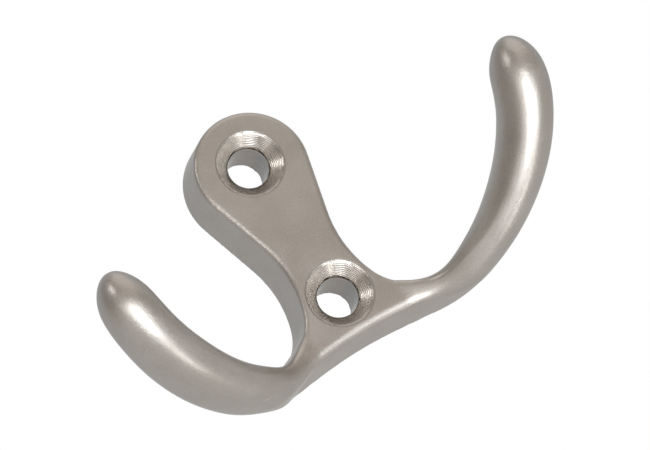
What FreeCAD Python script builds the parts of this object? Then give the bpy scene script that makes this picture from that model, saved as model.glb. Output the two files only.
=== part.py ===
import FreeCAD, Part
import math
import os
import Sketcher
from FreeCAD import Vector

# Double robe hook, die cast in one piece.
# The screw plate is a keyhole outline with cast draft, and two oval arms sweep out of its lower
# corners, forward and up, to rounded tips.
# Frame: X to the right, Z up, Y into the wall. The back of the plate lies on the plane Y = 0 and
# the origin is midway between the two screw holes. Sizes are in millimetres and degrees.

os.makedirs("parts", exist_ok=True)
doc = FreeCAD.newDocument("double_robe_hook")
sheet = doc.addObject("Spreadsheet::Sheet", "sizes")
SIZES = {
    # Screw holes
    "screw_spacing": 19,
    "bore_width": 5,
    "countersink_width": 8.1,
    "countersink_depth": 1.6,
    # Screw plate, with the sizes of its outline on the wall
    "plate_depth": 7.7,
    "draft_angle": 3.2,
    "lobe_radius": 7.45,
    "lobe_shift": 0.45,
    "flank_angle": 15.8,
    "waist_inset": 2.9,
    "waist_radius": 13.8,
    "flare_radius": 6.05,
    "floor_run": 5,
    "crook_drop": 3.4,
    "base_drop": 5.85,
    "base_radius": 56,
    "rim_rounding": 0.55,
    "base_rounding": 1.0,
    "back_chamfer": 0.25,
    # Where the arms leave the plate, measured from the side of its waist, and how they set out
    "root_front": 1.95,
    "root_back": 4.45,
    "root_lead": 1.0,
    "lead_share": 0.1,
    # Centre line of an arm: start, first handle, second handle and tip, with heights from the
    # lower screw hole
    "start_out": 9,
    "start_reach": 5.55,
    "start_rise": -5.9,
    "low_out": 16.65,
    "low_reach": 6.3,
    "low_rise": -7.6,
    "high_out": 29.15,
    "high_reach": 25.1,
    "high_rise": 0.02,
    "tip_out": 27.65,
    "tip_reach": 26.6,
    "tip_rise": 12.3,
    # Oval section of an arm: size across and depth at the root, at the belly and towards the tip
    "root_across": 2.15,
    "belly_across": 7.7,
    "tip_across": 6.1,
    "root_deep": 4.0,
    "belly_deep": 13.6,
    "tip_deep": 7.3,
    # Shares of the arm's way: where the oval is full, where the crook ridge has faded, and the dome
    "oval_share": 0.2,
    "ridge_share": 0.5,
    "dome_share": 0.14,
    # How much of each side of the oval is curved, and how far the curve stands off its corner
    "corner_share": 0.95,
    "hold_share": 0.45,
    # How far a cutting tool passes the faces that it cuts
    "overcut": 1.0,
}
ARM_SPANS = 7
DOME_DEGREES = (20, 38, 54, 67, 77, 84, 88.5)
WAIST_SIDE = "sizes.lobe_radius - sizes.waist_inset"

for row, (alias, value) in enumerate(SIZES.items(), 1):
    sheet.set("A%d" % row, alias)
    sheet.set("B%d" % row, str(value))
    sheet.setAlias("B%d" % row, alias)
doc.recompute()


def get(alias):
    """Read a driving size back from the sheet as a plain number."""
    value = sheet.get(alias)
    return float(getattr(value, "Value", value))


def origin_plane(body, role):
    """Return one of the body's own origin planes."""
    for feature in body.Origin.OriginFeatures:
        if feature.Role == role:
            return feature
    raise ValueError(role)


def flat_sketch(body, name, role):
    """Add a sketch that lies on one of the body's origin planes."""
    sketch = body.newObject("Sketcher::SketchObject", name)
    sketch.AttachmentSupport = [(origin_plane(body, role), "")]
    sketch.MapMode = "FlatFace"
    return sketch


def waist_side():
    """Distance of the narrowest place of the plate's side from the middle."""
    return get("lobe_radius") - get("waist_inset")


class Outline:
    """Corner points of the plate outline on the wall, for the right half."""

    def __init__(self, offset=0.0):
        half = get("screw_spacing") / 2
        lean = math.radians(get("flank_angle"))
        self.lobe_z = half - get("lobe_shift")
        self.lobe_r = get("lobe_radius") - offset
        self.waist_r = get("waist_radius") + offset
        self.flare_r = get("flare_radius") + offset
        self.crook_z = -half - get("crook_drop") - offset
        self.base_z = -half - get("base_drop") + offset
        self.base_r = get("base_radius")
        self.normal = (math.cos(lean), -math.sin(lean))
        self.waist_x = waist_side() + get("waist_radius")
        gap = self.lobe_r + self.waist_r
        self.waist_z = self.lobe_z - (gap - self.normal[0] * self.waist_x) / math.sin(lean)
        self.flare_z = self.crook_z + self.flare_r
        between = self.waist_r - self.flare_r
        self.flare_x = self.waist_x - math.sqrt(between ** 2 - (self.waist_z - self.flare_z) ** 2)
        self.meet_x = self.flare_x - self.flare_r * (self.waist_x - self.flare_x) / between
        self.end_x = self.flare_x + get("floor_run")

    def top(self, x):
        """Height of the crook side at a distance from the middle: waist, flare or floor."""
        if x < self.meet_x:
            return self.waist_z - math.sqrt(self.waist_r ** 2 - (self.waist_x - x) ** 2)
        reach = self.flare_x - min(x, self.flare_x)
        return self.flare_z - math.sqrt(self.flare_r ** 2 - reach ** 2)

    def bottom(self, x):
        """Height of the underside at a distance from the middle."""
        return self.base_z - self.base_r + math.sqrt(self.base_r ** 2 - x ** 2)

    def middle(self, x):
        """Height halfway between the crook floor and the underside."""
        return (self.top(x) + self.bottom(x)) / 2


def draw_outline(sketch, line):
    """Draw the closed keyhole outline with arcs that run into each other."""
    end = line.end_x
    nx, nz = line.normal
    geo = {}

    def arc(name, cx, cz, radius, first, last):
        circle = Part.Circle(Vector(cx, cz, 0), Vector(0, 0, 1), radius)
        geo[name] = sketch.addGeometry(Part.ArcOfCircle(circle, first, last), False)

    def segment(name, x1, z1, x2, z2):
        geo[name] = sketch.addGeometry(Part.LineSegment(Vector(x1, z1, 0), Vector(x2, z2, 0)), False)

    lean = math.atan2(nz, nx)
    toward = math.atan2(line.flare_z - line.waist_z, line.flare_x - line.waist_x) % (2 * math.pi)
    half_base = math.asin(end / line.base_r)
    arc("lobe", 0, line.lobe_z, line.lobe_r, lean, math.pi - lean)
    for side, name in ((1, "right"), (-1, "left")):
        touch_x = side * line.lobe_r * nx
        touch_z = line.lobe_z + line.lobe_r * nz
        waist_x = side * (line.waist_x - line.waist_r * nx)
        waist_z = line.waist_z - line.waist_r * nz
        segment("flank_" + name, waist_x, waist_z, touch_x, touch_z)
        if side > 0:
            arc("waist_right", line.waist_x, line.waist_z, line.waist_r, math.pi + lean, toward)
            arc("flare_right", line.flare_x, line.flare_z, line.flare_r, toward, 1.5 * math.pi)
        else:
            arc("waist_left", -line.waist_x, line.waist_z, line.waist_r,
                3 * math.pi - toward, 2 * math.pi - lean)
            arc("flare_left", -line.flare_x, line.flare_z, line.flare_r,
                1.5 * math.pi, 3 * math.pi - toward)
        segment("floor_" + name, side * line.flare_x, line.crook_z, side * end, line.crook_z)
        segment("end_" + name, side * end, line.crook_z, side * end, line.bottom(end))
    arc("base", 0, line.base_z - line.base_r, line.base_r,
        math.pi / 2 - half_base, math.pi / 2 + half_base)
    return geo


def constrain_outline(sketch, geo):
    """Tie the outline together and drive its sizes from the sheet."""
    def add(*values):
        return sketch.addConstraint(Sketcher.Constraint(*values))

    middle = (-1, 1)
    upright = -2
    add("PointOnObject", geo["lobe"], 3, upright)
    add("PointOnObject", geo["base"], 3, upright)
    add("Tangent", geo["lobe"], 1, geo["flank_right"], 2)
    add("Tangent", geo["lobe"], 2, geo["flank_left"], 2)
    add("Tangent", geo["flank_right"], 1, geo["waist_right"], 1)
    add("Tangent", geo["flank_left"], 1, geo["waist_left"], 2)
    add("Tangent", geo["waist_right"], 2, geo["flare_right"], 1)
    add("Tangent", geo["waist_left"], 1, geo["flare_left"], 2)
    add("Tangent", geo["flare_right"], 2, geo["floor_right"], 1)
    add("Tangent", geo["flare_left"], 1, geo["floor_left"], 1)
    for name, base_end in (("right", 1), ("left", 2)):
        add("Horizontal", geo["floor_" + name])
        add("Vertical", geo["end_" + name])
        add("Coincident", geo["floor_" + name], 2, geo["end_" + name], 1)
        add("Coincident", geo["end_" + name], 2, geo["base"], base_end)
    add("Equal", geo["waist_right"], geo["waist_left"])
    add("Equal", geo["flare_right"], geo["flare_left"])
    add("Symmetric", geo["waist_right"], 3, geo["waist_left"], 3, upright)
    add("Symmetric", geo["floor_right"], 2, geo["floor_left"], 2, upright)

    line = Outline()
    drives = (
        ("lobe_radius", ("Radius", geo["lobe"], line.lobe_r), "sizes.lobe_radius"),
        ("waist_radius", ("Radius", geo["waist_right"], line.waist_r), "sizes.waist_radius"),
        ("flare_radius", ("Radius", geo["flare_right"], line.flare_r), "sizes.flare_radius"),
        ("base_radius", ("Radius", geo["base"], line.base_r), "sizes.base_radius"),
        ("lobe_height", ("DistanceY", *middle, geo["lobe"], 3, line.lobe_z),
         "sizes.screw_spacing / 2 - sizes.lobe_shift"),
        ("waist_out", ("DistanceX", *middle, geo["waist_right"], 3, line.waist_x),
         WAIST_SIDE + " + sizes.waist_radius"),
        ("crook_height", ("DistanceY", geo["floor_right"], 1, *middle, -line.crook_z),
         "sizes.screw_spacing / 2 + sizes.crook_drop"),
        ("base_height", ("DistanceY", geo["base"], 3, *middle, line.base_r - line.base_z),
         "sizes.screw_spacing / 2 + sizes.base_drop + sizes.base_radius"),
        ("flank_lean", ("Angle", geo["flank_right"], math.radians(90 - get("flank_angle"))),
         "90 - sizes.flank_angle"),
        ("floor_length", ("DistanceX", geo["floor_right"], 1, geo["floor_right"], 2,
                          get("floor_run")), "sizes.floor_run"),
    )
    for name, values, expression in drives:
        index = add(*values)
        sketch.renameConstraint(index, name)
        sketch.setExpression("Constraints." + name, expression)


def edge_names(shape, wanted):
    """Names of the edges whose two ends and middle all pass a test."""
    names = []
    for index, edge in enumerate(shape.Edges):
        middle = edge.valueAt((edge.FirstParameter + edge.LastParameter) / 2)
        if all(wanted(p) for p in [v.Point for v in edge.Vertexes] + [middle]):
            names.append("Edge%d" % (index + 1))
    return names


def soften(body, base, kind, expression, name, wanted):
    """Fillet or chamfer the edges that pass a test, with a size from the sheet."""
    feature = body.newObject("PartDesign::" + kind, name)
    feature.Base = (base, edge_names(base.Shape, wanted))
    feature.setExpression("Radius" if kind == "Fillet" else "Size", expression)
    doc.recompute()
    return feature


def draw_root_cut(body, line):
    """Sketch the two slanted cuts, seen from above, that part the plate from its arms."""
    cut = flat_sketch(body, "root_cut", "XY_Plane")
    origin = (-1, 1)
    beyond = get("overcut")
    depth = get("plate_depth")
    slant = "(sizes.root_back - sizes.root_front) / sizes.plate_depth * sizes.overcut"
    run = (get("root_back") - get("root_front")) / depth * beyond
    back = waist_side() + get("root_back") + run
    front = waist_side() + get("root_front") - run
    end = line.end_x + depth
    for side, name in ((1, "right"), (-1, "left")):
        corners = [
            Vector(side * back, beyond, 0),
            Vector(side * end, beyond, 0),
            Vector(side * end, -depth - beyond, 0),
            Vector(side * front, -depth - beyond, 0),
        ]
        rows = []
        for index in range(4):
            row = Part.LineSegment(corners[index], corners[(index + 1) % 4])
            rows.append(cut.addGeometry(row, False))
        for index in range(4):
            cut.addConstraint(Sketcher.Constraint("Coincident", rows[index], 2, rows[(index + 1) % 4], 1))
        cut.addConstraint(Sketcher.Constraint("Horizontal", rows[0]))
        cut.addConstraint(Sketcher.Constraint("Vertical", rows[1]))
        cut.addConstraint(Sketcher.Constraint("Horizontal", rows[2]))
        drives = (
            ("back", ("DistanceY", *origin, rows[0], 1, beyond), "sizes.overcut"),
            ("front", ("DistanceY", rows[3], 1, *origin, depth + beyond),
             "sizes.plate_depth + sizes.overcut"),
            ("out_back", across(side, origin, (rows[0], 1), back),
             WAIST_SIDE + " + sizes.root_back + " + slant),
            ("out_front", across(side, origin, (rows[3], 1), front),
             WAIST_SIDE + " + sizes.root_front - " + slant),
            ("out_end", across(side, origin, (rows[1], 1), end), None),
        )
        for label, values, expression in drives:
            index = cut.addConstraint(Sketcher.Constraint(*values))
            cut.renameConstraint(index, label + "_" + name)
            if expression:
                cut.setExpression("Constraints." + label + "_" + name, expression)
    return cut


def across(side, origin, point, value):
    """Values of a distance along X that is positive on either side of the origin."""
    pair = (*origin, *point) if side > 0 else (*point, *origin)
    return ("DistanceX", *pair, value)


def make_plate():
    """Screw plate: drafted keyhole pad, rounded edges, ends cut on the slant for the arms."""
    body = doc.addObject("PartDesign::Body", "plate")
    sketch = flat_sketch(body, "plate_outline", "XZ_Plane")
    line = Outline()
    geo = draw_outline(sketch, line)
    constrain_outline(sketch, geo)
    pad = body.newObject("PartDesign::Pad", "plate_pad")
    pad.Profile = sketch
    pad.setExpression("Length", "sizes.plate_depth")
    pad.setExpression("TaperAngle", "-sizes.draft_angle")
    doc.recompute()

    pocket = body.newObject("PartDesign::Pocket", "root_pocket")
    pocket.Profile = draw_root_cut(body, line)
    pocket.Type = "ThroughAll"
    doc.recompute()

    depth = get("plate_depth")
    front = Outline(depth * math.tan(math.radians(get("draft_angle"))))
    front_split = front.middle(waist_side() + get("root_front"))
    back_split = line.middle(waist_side() + get("root_back"))
    rim = soften(body, pocket, "Fillet", "sizes.rim_rounding", "rim_round",
                 lambda p: abs(p.y + depth) < 1e-4 and p.z > front_split)
    base = soften(body, rim, "Fillet", "sizes.base_rounding", "base_round",
                  lambda p: abs(p.y + depth) < 1e-4 and p.z < front_split)
    eased = soften(body, base, "Chamfer", "sizes.back_chamfer", "back_chamfer",
                   lambda p: abs(p.y) < 1e-4 and p.z > back_split)
    soften(body, eased, "Chamfer", "sizes.back_chamfer", "back_base_chamfer",
           lambda p: abs(p.y) < 1e-4 and p.z < back_split)
    return body


def bezier(poles, share):
    """Point and direction on a cubic curve at a share of its way."""
    rest = 1 - share
    point = (poles[0] * rest ** 3 + poles[1] * (3 * rest ** 2 * share)
             + poles[2] * (3 * rest * share ** 2) + poles[3] * share ** 3)
    along = ((poles[1] - poles[0]) * rest ** 2 + (poles[2] - poles[1]) * (2 * rest * share)
             + (poles[3] - poles[2]) * share ** 2)
    return point, along.normalize()


def arm_line():
    """Poles of the centre line of the right arm."""
    level = -get("screw_spacing") / 2
    poles = []
    for name in ("start", "low", "high", "tip"):
        rise = level + get(name + "_rise")
        poles.append(Vector(get(name + "_out"), -get(name + "_reach"), rise))
    return poles


def blend_sizes(kind, share):
    """Half width of the oval, easing from the root over the belly to the tip."""
    rest = 1 - share
    full = (get("root_" + kind) * rest ** 2 + get("belly_" + kind) * 2 * rest * share
            + get("tip_" + kind) * share ** 2)
    return full / 2


def corner(point, before, after, radius, ease):
    """Poles of one corner, easing from a small radius until it fills its half of both sides."""
    half = (before - point).getAngle(after - point) / 2
    small = radius / math.tan(half)
    legs = []
    for other in (before, after):
        way = other - point
        full = way.Length / 2 * get("corner_share")
        legs.append(way.normalize() * (small + (full - small) * ease))
    hold = get("hold_share")
    return [point + legs[0], point + legs[0] * hold, point + legs[1] * hold, point + legs[1]]


def ring_wire(box, eases):
    """Closed section wire of a four-cornered box: each corner, then the side that follows it."""
    radii = [get("rim_rounding"), get("back_chamfer"), get("back_chamfer"), get("base_rounding")]
    rounded = []
    for index, point in enumerate(box):
        after = box[(index + 1) % 4]
        rounded.append(corner(point, box[index - 1], after, radii[index], eases[index]))
    edges = []
    for index, poles in enumerate(rounded):
        first = poles[3]
        step = (rounded[(index + 1) % 4][0] - first) / 3
        for row in (poles, [first, first + step, first + step * 2, first + step * 3]):
            curve = Part.BezierCurve()
            curve.setPoles(row)
            edges.append(curve.toShape())
    return Part.Wire(edges)


def arm_box(share, shrink=1.0):
    """Corners of the box around the oval: front and back of the crook side, back and front below."""
    middle, along = bezier(arm_line(), share)
    inward = Vector(0, 1, 0)
    deep = (inward - along * along.dot(inward)).normalize()
    across = along.cross(deep)
    deep = deep * (blend_sizes("deep", share) * shrink)
    across = across * (blend_sizes("across", share) * shrink)
    return [middle - deep + across, middle + deep + across, middle + deep - across,
            middle - deep - across]


def arm_wire(share, shrink=1.0):
    """Oval section of the arm, with the ridge of the plate's crook edge while it lasts."""
    ease = min(1, share / get("ridge_share"))
    return ring_wire(arm_box(share, shrink), [ease * ease * (3 - 2 * ease), 1, 1, 1])


def lead_wire():
    """Section of the plate a little way out past its slanted end, leaning towards the first oval."""
    depth = get("plate_depth")
    wall = Outline()
    face = Outline(depth * math.tan(math.radians(get("draft_angle"))))
    near = waist_side() + get("root_front") + get("root_lead")
    far = waist_side() + get("root_back") + get("root_lead")
    box = [
        Vector(near, -depth, face.top(near)),
        Vector(far, 0, wall.top(far)),
        Vector(far, 0, wall.bottom(far)),
        Vector(near, -depth, face.bottom(near)),
    ]
    lean = get("lead_share")
    ahead = arm_box(get("oval_share"))
    return ring_wire([one * (1 - lean) + two * lean for one, two in zip(box, ahead)], [0, 0, 0, 0])


def root_wire(shape):
    """Outline of the slanted end of the plate on the right."""
    for face in shape.Faces:
        if face.Surface.TypeId != "Part::GeomPlane" or face.CenterOfMass.x < waist_side():
            continue
        normal = face.normalAt(0, 0)
        if abs(normal.x) > 0.5 and abs(normal.y) > 0.1:
            return face.OuterWire
    raise ValueError("root")


def make_arm(shape):
    """Right arm: a smooth skin over its sections from the plate to the tip, none of it in the wall."""
    first = get("oval_share")
    dome = get("dome_share")
    wires = [root_wire(shape), lead_wire()]
    for index in range(ARM_SPANS + 1):
        wires.append(arm_wire(first + (1 - dome - first) * index / ARM_SPANS))
    for degrees in DOME_DEGREES:
        angle = math.radians(degrees)
        wires.append(arm_wire(1 - dome + dome * math.sin(angle), math.cos(angle)))
    skin = Part.makeLoft(wires, True, False, False, 5)
    wide = 4 * get("belly_deep")
    wall = Part.makeBox(2 * wide, wide, 2 * wide, Vector(-wide, 0, -wide))
    return skin.cut(wall)


def cut_across(shape, share):
    """Divide the arm square to its centre line, into the part before and the part after."""
    middle, along = bezier(arm_line(), share)
    wide = 4 * get("belly_deep")
    block = Part.makeBox(wide, wide, wide, Vector(-wide / 2, -wide / 2, 0))
    block.Placement = FreeCAD.Placement(middle, FreeCAD.Rotation(Vector(0, 0, 1), along))
    return shape.cut(block), shape.common(block)


def make_hole(name, height):
    """Cutting tool of one countersunk screw hole at a height, its axis square to the wall."""
    bore = doc.addObject("Part::Cylinder", name + "_bore")
    bore.setExpression("Radius", "sizes.bore_width / 2")
    bore.setExpression("Height", "sizes.plate_depth + 2 * sizes.overcut")
    cone = doc.addObject("Part::Cone", name + "_countersink")
    cone.setExpression("Radius1", "sizes.bore_width / 2")
    cone.setExpression("Radius2", "sizes.countersink_width / 2 + sizes.overcut"
                       " * (sizes.countersink_width - sizes.bore_width) / 2 / sizes.countersink_depth")
    cone.setExpression("Height", "sizes.countersink_depth + sizes.overcut")
    for tool, seat in ((bore, "sizes.overcut"), (cone, "sizes.countersink_depth - sizes.plate_depth")):
        tool.Placement = FreeCAD.Placement(Vector(), FreeCAD.Rotation(Vector(1, 0, 0), 90))
        tool.setExpression("Placement.Base.y", seat)
        tool.setExpression("Placement.Base.z", height)
    return [bore, cone]


def save(feature, label):
    """Check one finished piece and write it to its own file."""
    doc.recompute()
    for item in doc.Objects:
        if "Invalid" in item.State or "Error" in item.State:
            raise ValueError(item.Name)
    shape = feature.Shape
    if shape.isNull() or not shape.isValid() or len(shape.Solids) != 1:
        raise ValueError(label)
    feature.Label = label
    shape.Solids[0].exportStep("parts/%s.step" % label)
    print(label, "volume", round(shape.Volume, 1), "faces", len(shape.Faces), shape.BoundBox)


plate = make_plate()
root, rest = cut_across(make_arm(plate.Shape), get("oval_share"))
reach, tip = cut_across(rest, 1 - get("dome_share"))
pieces = [plate]
for name, shape in (("root", root), ("reach", reach), ("tip", tip)):
    right = doc.addObject("Part::Feature", name + "_right")
    right.Shape = shape
    right.Placement = FreeCAD.Placement()
    left = doc.addObject("Part::Mirroring", name + "_left")
    left.Source = right
    left.Base = Vector(0, 0, 0)
    left.Normal = Vector(1, 0, 0)
    pieces += [right, left]
doc.recompute()

blank = doc.addObject("Part::MultiFuse", "blank")
blank.Shapes = pieces
blank.Refine = False
cutters = doc.addObject("Part::MultiFuse", "cutters")
upper = make_hole("upper", "sizes.screw_spacing / 2")
lower = make_hole("lower", "-sizes.screw_spacing / 2")
cutters.Shapes = upper + lower
hook = doc.addObject("Part::Cut", "hook")
hook.Base = blank
hook.Tool = cutters
hook.Refine = False
save(hook, "robe_hook")
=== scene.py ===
# %% Load the measured casting
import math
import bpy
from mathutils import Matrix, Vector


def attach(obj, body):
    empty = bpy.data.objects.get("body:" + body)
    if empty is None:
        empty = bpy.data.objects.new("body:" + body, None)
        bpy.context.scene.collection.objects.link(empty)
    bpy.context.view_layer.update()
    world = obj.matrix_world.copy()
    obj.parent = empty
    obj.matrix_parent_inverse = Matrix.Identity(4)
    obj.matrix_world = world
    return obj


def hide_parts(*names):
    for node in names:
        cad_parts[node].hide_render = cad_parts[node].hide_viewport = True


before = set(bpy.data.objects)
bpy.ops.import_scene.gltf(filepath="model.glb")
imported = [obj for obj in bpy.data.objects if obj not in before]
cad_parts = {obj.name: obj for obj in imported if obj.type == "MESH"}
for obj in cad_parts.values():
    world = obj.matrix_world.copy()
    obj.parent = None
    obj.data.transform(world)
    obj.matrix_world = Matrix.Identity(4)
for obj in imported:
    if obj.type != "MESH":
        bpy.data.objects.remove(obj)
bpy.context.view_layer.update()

# %% [markdown]
# # A double robe hook in satin nickel
# The real object is one zinc die casting: a screw plate with two arms that grow out of its lower
# corners. There is nothing to assemble, so the whole lesson is about one skin and one finish.
# The CAD solid already has the right shape. The work here is to give it the soft edges of a cast,
# tumbled and plated part, a metal finish with the small marks that real plating shows, and the
# light of a small product studio.


def deselect_everything():
    """Start the next step with nothing selected and no mode open."""
    if bpy.context.object and bpy.context.object.mode != "OBJECT":
        bpy.ops.object.mode_set(mode="OBJECT")
    bpy.ops.object.select_all(action="DESELECT")


def make_active(thing):
    """Select one object and make it the active one."""
    deselect_everything()
    thing.select_set(True)
    bpy.context.view_layer.objects.active = thing


# %% [markdown]
# ## The camera
# The photograph looks at the front from below and from the left, with the hook turned so that its
# screw plate leans to the upper left. The distance isn't known: 0.6 m is taken, with a long lens
# that keeps the two arms almost the same scale.
# The direction can be set with angles, but a look vector and a side vector say the same thing
# without any doubt about the order of turns, so the camera's matrix is built from those two.

# %% Camera
SENSOR = 0.036
IMAGE_WIDTH = 650
PIXELS_PER_MM = 8.4353
DISTANCE = 0.6
LOOK = Vector((0.3070, 0.9320, 0.1950))
SIDE = Vector((0.8150, -0.1500, -0.5580))
PLATE_DEPTH = 0.0077
CENTRE_LEFT = 29.935
CENTRE_ABOVE = -3.003

focal_pixels = PIXELS_PER_MM * DISTANCE * 1000
look = LOOK.normalized()
side = (SIDE - look * SIDE.dot(look)).normalized()
down = look.cross(side)
eye = Vector((0, -PLATE_DEPTH, 0)) - look * DISTANCE
look = (look + side * (CENTRE_LEFT / focal_pixels) + down * (CENTRE_ABOVE / focal_pixels)).normalized()
side = (side - look * side.dot(look)).normalized()
down = look.cross(side)
camera_data = bpy.data.cameras.new("studio_camera")
camera_data.sensor_width = SENSOR * 1000
camera_data.lens = focal_pixels / IMAGE_WIDTH * SENSOR * 1000
camera = bpy.data.objects.new("studio_camera", camera_data)
bpy.context.scene.collection.objects.link(camera)
camera.matrix_world = Matrix((
    (side.x, -down.x, -look.x, eye.x),
    (side.y, -down.y, -look.y, eye.y),
    (side.z, -down.z, -look.z, eye.z),
    (0, 0, 0, 1)))
bpy.context.scene.camera = camera
print("Lens in millimetres:", round(camera_data.lens, 1))

# %% [markdown]
# ## The skin of the casting
# Zinc fills a steel mould, is tumbled and then plated, so no edge on the real hook is sharp: each
# one has a small soft radius, also round the countersinks, and the arms run out of the plate
# without a seam. The hook could be modelled again from a primitive, but its shape is measured and
# already right, so a copy of the solid is taken and its loose triangles are merged. A voxel remesh
# turns them into even quads, and a smooth modifier rounds what is still sharp. It works a little
# everywhere and much more at the roots of the arms, by a vertex group. The last loop keeps the back
# on the plane of the wall.

# %% Skin
VOXEL = 0.00022
LIGHT_PASSES = 3
ROOT_PASSES = 15
ROOT_FROM = 0.0062
ROOT_TO = 0.0135
ROOT_EASE = 0.0015
ROOT_BELOW = -0.0105
MERGE_WITHIN = 1e-7
SMOOTH_FACTOR = 0.5
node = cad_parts["robe_hook"]
skin = node.copy()
skin.data = node.data.copy()
skin.name = "cast_skin"
skin.data.name = "cast_skin"
skin.parent = None
bpy.context.scene.collection.objects.link(skin)
make_active(skin)
bpy.ops.object.mode_set(mode="EDIT")
bpy.ops.mesh.select_all(action="SELECT")
bpy.ops.mesh.remove_doubles(threshold=MERGE_WITHIN)
bpy.ops.object.mode_set(mode="OBJECT")
print("Merged copy:", len(skin.data.vertices), "corners")

remesh = skin.modifiers.new("even_quads", "REMESH")
remesh.mode = "VOXEL"
remesh.voxel_size = VOXEL
bpy.ops.object.modifier_apply(modifier=remesh.name)


def root_weight(point):
    """How much a point belongs to the root of an arm, from 0 to 1."""
    out = abs(point.x)
    rise = min(1, max(0, (out - ROOT_FROM) / ROOT_EASE))
    fall = min(1, max(0, (ROOT_TO - out) / ROOT_EASE))
    below = point.z < ROOT_BELOW
    return rise * fall * below


roots = skin.vertex_groups.new(name="roots")
for corner in skin.data.vertices:
    weight = root_weight(corner.co)
    if weight > 0:
        roots.add([corner.index], weight, "REPLACE")

for name, passes, group in (("soft_edges", LIGHT_PASSES, ""), ("soft_roots", ROOT_PASSES, "roots")):
    soften = skin.modifiers.new(name, "SMOOTH")
    soften.factor = SMOOTH_FACTOR
    soften.iterations = passes
    soften.vertex_group = group
    bpy.ops.object.modifier_apply(modifier=soften.name)
skin.vertex_groups.clear()
for corner in skin.data.vertices:
    corner.co.y = min(corner.co.y, 0)
bpy.ops.object.shade_smooth()
skin.data.calc_loop_triangles()
print("Skin:", len(skin.data.loop_triangles), "triangles")
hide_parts("robe_hook")
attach(skin, "root")

# %% [markdown]
# ## Satin nickel
# The plating is a warm grey metal over a blasted casting. Its gloss is broken by a grain of about
# a fifth of a millimetre, so reflections are soft, and by faint patches where the tumbling was
# uneven. The two countersinks were turned with a cutter after casting: they are smoother and show
# fine rings, and their rims have small nicks. A picture of metal could be wrapped round the part,
# but patterns worked out from the place in the metal fit every side without a seam.

# %% Finish: the base metal
WARM_NICKEL_DARK = (0.500, 0.455, 0.410, 1)
WARM_NICKEL_LIGHT = (0.655, 0.610, 0.565, 1)
PATCHES_PER_METRE = 190
GRAINS_PER_METRE = 5200
PATCH_SHARE = 0.4
TONE_RANGE = (0.3, 0.7)
finish = bpy.data.materials.new("satin_nickel")
finish.use_nodes = True
nodes = finish.node_tree.nodes
links = finish.node_tree.links
shader = nodes["Principled BSDF"]
shader.inputs["Metallic"].default_value = 1.0
place = nodes.new("ShaderNodeTexCoord")


def noise(scale, detail):
    """Noise that follows the place in the metal."""
    cloud = nodes.new("ShaderNodeTexNoise")
    cloud.inputs["Scale"].default_value = scale
    cloud.inputs["Detail"].default_value = detail
    links.new(place.outputs["Object"], cloud.inputs["Vector"])
    return cloud.outputs["Fac"]


def calculate(operation, first, second=None):
    """One sum on two values, each a socket or a number."""
    step = nodes.new("ShaderNodeMath")
    step.operation = operation
    for socket, value in zip(step.inputs, (first, second)):
        if value is None:
            continue
        if isinstance(value, (int, float)):
            socket.default_value = value
        else:
            links.new(value, socket)
    return step.outputs["Value"]


def spread(value, low, high, to_low, to_high):
    """Turn one range of a value into another, softly and within its ends."""
    step = nodes.new("ShaderNodeMapRange")
    step.interpolation_type = "SMOOTHSTEP"
    step.inputs["From Min"].default_value = low
    step.inputs["From Max"].default_value = high
    step.inputs["To Min"].default_value = to_low
    step.inputs["To Max"].default_value = to_high
    links.new(value, step.inputs["Value"])
    return step.outputs["Result"]


patches = noise(PATCHES_PER_METRE, detail=4)
grain = noise(GRAINS_PER_METRE, detail=3)
tone = nodes.new("ShaderNodeValToRGB")
tone.color_ramp.elements[0].position = TONE_RANGE[0]
tone.color_ramp.elements[0].color = WARM_NICKEL_DARK
tone.color_ramp.elements[1].position = TONE_RANGE[1]
tone.color_ramp.elements[1].color = WARM_NICKEL_LIGHT
broad = calculate("MULTIPLY", patches, PATCH_SHARE)
fine = calculate("MULTIPLY", grain, 1 - PATCH_SHARE)
mottle = calculate("ADD", broad, fine)
links.new(mottle, tone.inputs["Fac"])
print("Base metal ready")

# %% [markdown]
# ## The turned countersinks
# Both screw holes lie on the line x = 0, one as far above the origin as the other is below it. So
# the distance from a screw's axis can be worked out for both at once, with the height's absolute
# value. That distance tells what is hole and what is face, and its fine steps draw the rings that
# the cutter left. A second mask, by depth, keeps all this off the flat back of the plate.

# %% Finish: countersinks
SCREW_HEIGHT = 0.0095
CONE_EDGE = 0.00405
BACK_FACE = (-0.0003, -0.0001)
CONE_BLEND = (-0.00002, 0.00006)
RING_PITCH = 0.00017
WOBBLES_PER_METRE = 420
WOBBLE_WIDTH = 0.0006
split = nodes.new("ShaderNodeSeparateXYZ")
links.new(place.outputs["Object"], split.inputs["Vector"])
height = calculate("SUBTRACT", calculate("ABSOLUTE", split.outputs["Z"]), SCREW_HEIGHT)
reach = calculate("SQRT", calculate("ADD", calculate("POWER", split.outputs["X"], 2),
                                    calculate("POWER", height, 2)))
in_hole = spread(reach, CONE_EDGE + CONE_BLEND[0], CONE_EDGE + CONE_BLEND[1], 1, 0)
off_wall = spread(split.outputs["Y"], *BACK_FACE, 1, 0)
turned = calculate("MULTIPLY", in_hole, off_wall)
wobble = calculate("MULTIPLY", noise(WOBBLES_PER_METRE, detail=2), WOBBLE_WIDTH)
rings = calculate("SINE", calculate("MULTIPLY", calculate("ADD", reach, wobble),
                                    2 * math.pi / RING_PITCH))
print("Rings every", RING_PITCH * 1000, "mm")
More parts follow.
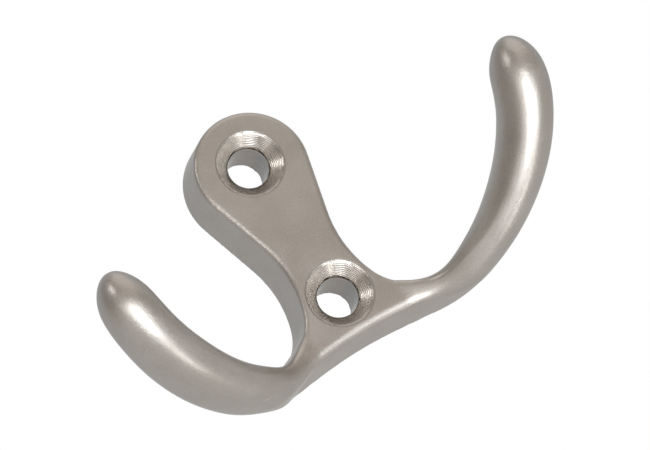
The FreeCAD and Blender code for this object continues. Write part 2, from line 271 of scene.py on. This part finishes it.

# %% [markdown]
# ## Nicks, scratches and the wall edge
# A used hook carries small marks. Screw heads and drivers nick the rims of the countersinks, keys
# and buttons leave a few hairlines, and the edge that touches the wall is chipped and drawn darker.
# The photograph shows the nicks and a thin dark line at the wall edge; the hairlines are added.
# Each of them is a pattern with a mask: the mask says where it may show, and the pattern breaks it
# up, so that no two places look alike.

# %% Finish: marks of use
RIM_WIDTH = 0.00013
WALL_LINE = -0.00032
WALL_LINE_WIDTH = 0.00028
SCRATCH_SCALES = (90, 90, 1500)
SCRATCH_TURN = (0.5, 0.9, 0.3)
SCRATCH_WIDTH = 0.004
SCRATCHED_PLACES_PER_METRE = 260
SCRATCHED_RANGE = (0.58, 0.66)
CHIPS_PER_METRE = 2400
CHIP_RANGE = (0.55, 0.62)


def nearness(value, centre, width):
    """One at the centre of a narrow band and nothing outside it."""
    return spread(calculate("ABSOLUTE", calculate("SUBTRACT", value, centre)), 0, width, 1, 0)


chips = spread(noise(CHIPS_PER_METRE, detail=1), *CHIP_RANGE, 0, 1)
rim_nicks = calculate("MULTIPLY", nearness(reach, CONE_EDGE, RIM_WIDTH), chips)
wall_edge = nearness(split.outputs["Y"], WALL_LINE, WALL_LINE_WIDTH)
turned_way = nodes.new("ShaderNodeMapping")
turned_way.inputs["Rotation"].default_value = SCRATCH_TURN
turned_way.inputs["Scale"].default_value = SCRATCH_SCALES
links.new(place.outputs["Object"], turned_way.inputs["Vector"])
drawn_out = nodes.new("ShaderNodeTexNoise")
drawn_out.inputs["Scale"].default_value = 1
drawn_out.inputs["Detail"].default_value = 0
links.new(turned_way.outputs["Vector"], drawn_out.inputs["Vector"])
hairline = nearness(drawn_out.outputs["Fac"], 0.5, SCRATCH_WIDTH)
scratched_places = spread(noise(SCRATCHED_PLACES_PER_METRE, detail=1), *SCRATCHED_RANGE, 0, 1)
scratches = calculate("MULTIPLY", hairline, scratched_places)
marks = calculate("MAXIMUM", rim_nicks, scratches)
print("Marks of use ready")

# %% [markdown]
# ## Colour, gloss and relief
# The roughness follows the mottle of the face a little and is lower in the turned holes. The bores
# are darkened with painted shade, more towards the wall, and a thin painted line of shade runs round
# each rim. The edge at the wall is drawn with a darker line, broken up by noise. The relief is the
# blasted grain outside the holes and the cutter's rings inside them, with the nicks and hairlines
# pressed in last. All of it is far below what could be modelled as faces, so a bump is right for it.
# The measured shape stays.

# %% Finish: colour, gloss and relief
FACE_ROUGHNESS = (0.36, 0.41)
TURNED_ROUGHNESS = 0.24
GLOSS_RANGE = (0.35, 0.65)
# Dark tone for the painted shade round each rim and for the darker line at the wall edge.
PAINTED_RIM_SHADE_AND_EDGE_TONE = (0.16, 0.13, 0.11, 1)
# Painted shade in the bores, darker deeper into the hole.
PAINTED_BORE_SHADE = (0.33, 0.30, 0.27, 1)
BORE_SHADE_FROM = (-0.0064, -0.0052)
BORE_SHADE_SHARE = 0.85
RIM_SHADE_SHARE = 0.45
# The darker line at the wall edge is broken up by this noise.
EDGE_BREAKS_PER_METRE = 900
EDGE_BREAK_RANGE = (0.35, 0.65)
EDGE_BREAK_LEAST = 0.4
RELIEF_STRENGTH = 0.9
RELIEF_DEPTH = 0.000024
MARK_DEPTH = 0.00004
RING_DEPTH = 0.000006
# The Mix node has several sockets of the same name, so its colour sockets are chosen by number.
MIX_AMOUNT = 0
MIX_FIRST = 6
MIX_SECOND = 7
MIX_COLOUR = 2
face_gloss = spread(mottle, *GLOSS_RANGE, *FACE_ROUGHNESS)
gloss = nodes.new("ShaderNodeMix")
links.new(turned, gloss.inputs["Factor"])
links.new(face_gloss, gloss.inputs["A"])
gloss.inputs["B"].default_value = TURNED_ROUGHNESS
links.new(gloss.outputs["Result"], shader.inputs["Roughness"])


def tint(amount, first, colour):
    """Mix one colour over another by an amount."""
    mix = nodes.new("ShaderNodeMix")
    mix.data_type = "RGBA"
    links.new(amount, mix.inputs[MIX_AMOUNT])
    links.new(first, mix.inputs[MIX_FIRST])
    mix.inputs[MIX_SECOND].default_value = colour
    return mix.outputs[MIX_COLOUR]


# Painted shade: the bores darken deeper into the hole, towards the wall.
painted_bore_shade = calculate("MULTIPLY", turned, spread(split.outputs["Y"], *BORE_SHADE_FROM, 0, BORE_SHADE_SHARE))
# Painted shade: a thin dark line round each rim, just outside the cone.
painted_rim_shade = calculate("MULTIPLY", nearness(reach, CONE_EDGE + RIM_WIDTH, RIM_WIDTH), RIM_SHADE_SHARE)
painted_rim_shade = calculate("MULTIPLY", painted_rim_shade, off_wall)
# A darker line along the edge at the wall, broken up by noise.
edge_breakup = spread(noise(EDGE_BREAKS_PER_METRE, detail=2), *EDGE_BREAK_RANGE, EDGE_BREAK_LEAST, 1)
dark_wall_edge = calculate("MULTIPLY", wall_edge, edge_breakup)
metal = tint(painted_bore_shade, tone.outputs["Color"], PAINTED_BORE_SHADE)
metal = tint(calculate("MAXIMUM", painted_rim_shade, dark_wall_edge), metal, PAINTED_RIM_SHADE_AND_EDGE_TONE)
links.new(metal, shader.inputs["Base Color"])


def press(height_of, depth, strength, below=None):
    """Lay one relief over another and give the new surface direction."""
    bump = nodes.new("ShaderNodeBump")
    bump.inputs["Strength"].default_value = strength
    bump.inputs["Distance"].default_value = depth
    links.new(height_of, bump.inputs["Height"])
    if below is not None:
        links.new(below, bump.inputs["Normal"])
    return bump.outputs["Normal"]


face_only = calculate("SUBTRACT", 1, turned)
blasted = press(calculate("MULTIPLY", grain, face_only), RELIEF_DEPTH, RELIEF_STRENGTH)
cut = press(calculate("MULTIPLY", rings, turned), RING_DEPTH, 1, blasted)
dented = press(calculate("MULTIPLY", marks, -1), MARK_DEPTH, 1, cut)
links.new(dented, shader.inputs["Normal"])
skin.data.materials.clear()
skin.data.materials.append(finish)
print("Finish has", len(nodes), "nodes")

# %% [markdown]
# ## The studio
# Metal shows little but its surroundings, so the studio matters as much as the finish. In the
# photograph the backdrop is white and the side of the camera is a darker room. What stood there
# isn't known, so the lights here were chosen to bring the metal near its look in the photograph: a
# large soft box near the camera, a wide and weak one above, and small ones at the upper left, at
# the left and below. The match is best on the plate and poorest in the countersinks. The backdrop
# comes from the world: white wherever the camera looks, and nearly white behind the hook in its
# reflections. Round it lies the grey of a room, with a darker card at the upper left. The
# photograph has strong dark bands beside the highlights, which this room draws only weakly.

# %% World
CAMERA_SIDE = (0.435, 0.400, 0.370, 1)
FAR_SIDE = (0.50, 0.52, 0.54, 1)
DARK_CARD = (0.30, 0.29, 0.28, 1)
BACKDROP = (1, 1, 1, 1)
SIDE_CHANGE = (-0.1, 0.6)
BACKDROP_EDGE = (0.93, 0.985)
BACKDROP_MIRRORED = 0.78
CARD_PLACE = Vector((-0.74, -0.10, 0.66)).normalized()
CARD_EDGE = (0.62, 0.92)
world = bpy.data.worlds.new("white_studio")
bpy.context.scene.world = world
world.use_nodes = True
sky = world.node_tree.nodes
wire = world.node_tree.links
sky.clear()
out = sky.new("ShaderNodeOutputWorld")
way = sky.new("ShaderNodeTexCoord")


def facing(direction, limits, most=1):
    """How far the sky lies in one direction: 0 below one limit and the most above the other."""
    dot = sky.new("ShaderNodeVectorMath")
    dot.operation = "DOT_PRODUCT"
    wire.new(way.outputs["Generated"], dot.inputs[0])
    dot.inputs[1].default_value = direction
    step = sky.new("ShaderNodeMapRange")
    step.interpolation_type = "SMOOTHSTEP"
    step.inputs["From Min"].default_value = limits[0]
    step.inputs["From Max"].default_value = limits[1]
    step.inputs["To Max"].default_value = most
    wire.new(dot.outputs["Value"], step.inputs["Value"])
    return step.outputs["Result"]


def combine(operation, first, second):
    """One sum on two values of the sky."""
    step = sky.new("ShaderNodeMath")
    step.operation = operation
    wire.new(first, step.inputs[0])
    wire.new(second, step.inputs[1])
    return step.outputs["Value"]


def paint(amount, first, second):
    """Mix two colours of the sky by an amount."""
    mix = sky.new("ShaderNodeMix")
    mix.data_type = "RGBA"
    wire.new(amount, mix.inputs[MIX_AMOUNT])
    for socket, value in ((mix.inputs[MIX_FIRST], first), (mix.inputs[MIX_SECOND], second)):
        if isinstance(value, tuple):
            socket.default_value = value
        else:
            wire.new(value, socket)
    return mix.outputs[MIX_COLOUR]


room = paint(facing(look, SIDE_CHANGE), CAMERA_SIDE, FAR_SIDE)
room = paint(facing(CARD_PLACE, CARD_EDGE), room, DARK_CARD)
ray = sky.new("ShaderNodeLightPath")
clear = combine("MAXIMUM", ray.outputs["Is Camera Ray"], ray.outputs["Is Transmission Ray"])
behind = facing(look, BACKDROP_EDGE, BACKDROP_MIRRORED)
mirrored = combine("MULTIPLY", ray.outputs["Is Glossy Ray"], behind)
air = sky.new("ShaderNodeBackground")
wire.new(paint(combine("MAXIMUM", clear, mirrored), room, BACKDROP), air.inputs["Color"])
wire.new(air.outputs["Background"], out.inputs["Surface"])
print("World ready")

# %% [markdown]
# ## The soft boxes
# A soft box is a square lamp that faces the hook. Its brightness is what the metal mirrors, so each
# is given by its direction, by how wide it looks from the hook and by how bright its face is. The
# power follows from those and from its distance. The key box and the low box are too bright: metal
# that mirrors them clips to white in places, most of all when seen from above or from behind.

# %% Soft boxes
LAMP_DISTANCE = 0.36


def soft_box(name, direction, half_angle, brightness, colour=(1, 1, 1)):
    """A square lamp that faces the hook, as wide and as bright as asked."""
    lamp = bpy.data.lights.new(name, "AREA")
    lamp.shape = "SQUARE"
    lamp.size = math.sqrt(math.pi) * LAMP_DISTANCE * math.tan(math.radians(half_angle))
    lamp.energy = brightness * 4 * lamp.size ** 2
    lamp.color = colour
    holder = bpy.data.objects.new(name, lamp)
    bpy.context.scene.collection.objects.link(holder)
    way_in = Vector(direction).normalized()
    holder.location = way_in * LAMP_DISTANCE
    holder.rotation_euler = (-way_in).to_track_quat("-Z", "Y").to_euler()
    holder.visible_camera = False
    print(name, "side", round(lamp.size, 3), "m, power", round(lamp.energy, 2), "W")


soft_box("key_box", (-0.21, -0.82, -0.52), 25, 2.75, (0.94, 1.0, 1.05))
soft_box("upper_left_box", (-0.61, -0.42, 0.67), 7, 3.6)
soft_box("top_box", (0.45, -0.45, 0.77), 32, 0.3)
soft_box("left_box", (-0.76, -0.62, -0.15), 9, 1.3)
soft_box("low_box", (-0.02, -0.21, -0.97), 8, 2.6)

# %% [markdown]
# ## The floor
# The hook hangs on a wall, so the floor lies well below it and out of the photograph's view. It is
# plain and pale. About a third of it glows white for the camera and in reflections, and the rest is
# a matt white that the lamps light, so that a shadow can still show on it.

# %% Floor
FLOOR_DROP = 0.45
FLOOR_SIZE = 6
FLOOR_GLOW = 0.32
PAPER_COLOUR = (0.82, 0.82, 0.81, 1)
PAPER_ROUGHNESS = 0.9
deselect_everything()
bpy.ops.mesh.primitive_plane_add(size=FLOOR_SIZE, location=(0, 0, -FLOOR_DROP))
floor = bpy.context.object
floor.name = "pale_floor"
bpy.ops.object.transform_apply(location=True, rotation=True, scale=True)
paper = bpy.data.materials.new("pale_paper")
paper.use_nodes = True
sheet = paper.node_tree.nodes
thread = paper.node_tree.links
matt = sheet["Principled BSDF"]
matt.inputs["Base Color"].default_value = PAPER_COLOUR
matt.inputs["Roughness"].default_value = PAPER_ROUGHNESS
glow = sheet.new("ShaderNodeEmission")
glow.inputs["Color"].default_value = (1, 1, 1, 1)
glow.inputs["Strength"].default_value = 1.0
path = sheet.new("ShaderNodeLightPath")


def either(first, second):
    """One where at least one of two kinds of ray meets the floor."""
    most = sheet.new("ShaderNodeMath")
    most.operation = "MAXIMUM"
    thread.new(first, most.inputs[0])
    thread.new(second, most.inputs[1])
    return most.outputs["Value"]


seen = either(path.outputs["Is Camera Ray"], path.outputs["Is Transmission Ray"])
seen = either(seen, path.outputs["Is Glossy Ray"])
share = sheet.new("ShaderNodeMath")
share.operation = "MULTIPLY"
share.inputs[1].default_value = FLOOR_GLOW
thread.new(seen, share.inputs[0])
blend = sheet.new("ShaderNodeMixShader")
thread.new(share.outputs["Value"], blend.inputs["Fac"])
thread.new(matt.outputs["BSDF"], blend.inputs[1])
thread.new(glow.outputs["Emission"], blend.inputs[2])
thread.new(blend.outputs["Shader"], sheet["Material Output"].inputs["Surface"])
floor.data.materials.append(paper)
print("Floor lies", FLOOR_DROP, "m below the hook")

# %% [markdown]
# ## The view settings
# The colours are shown without any film look.

# %% Finish the scene
bpy.context.scene.view_settings.view_transform = "Standard"
deselect_everything()
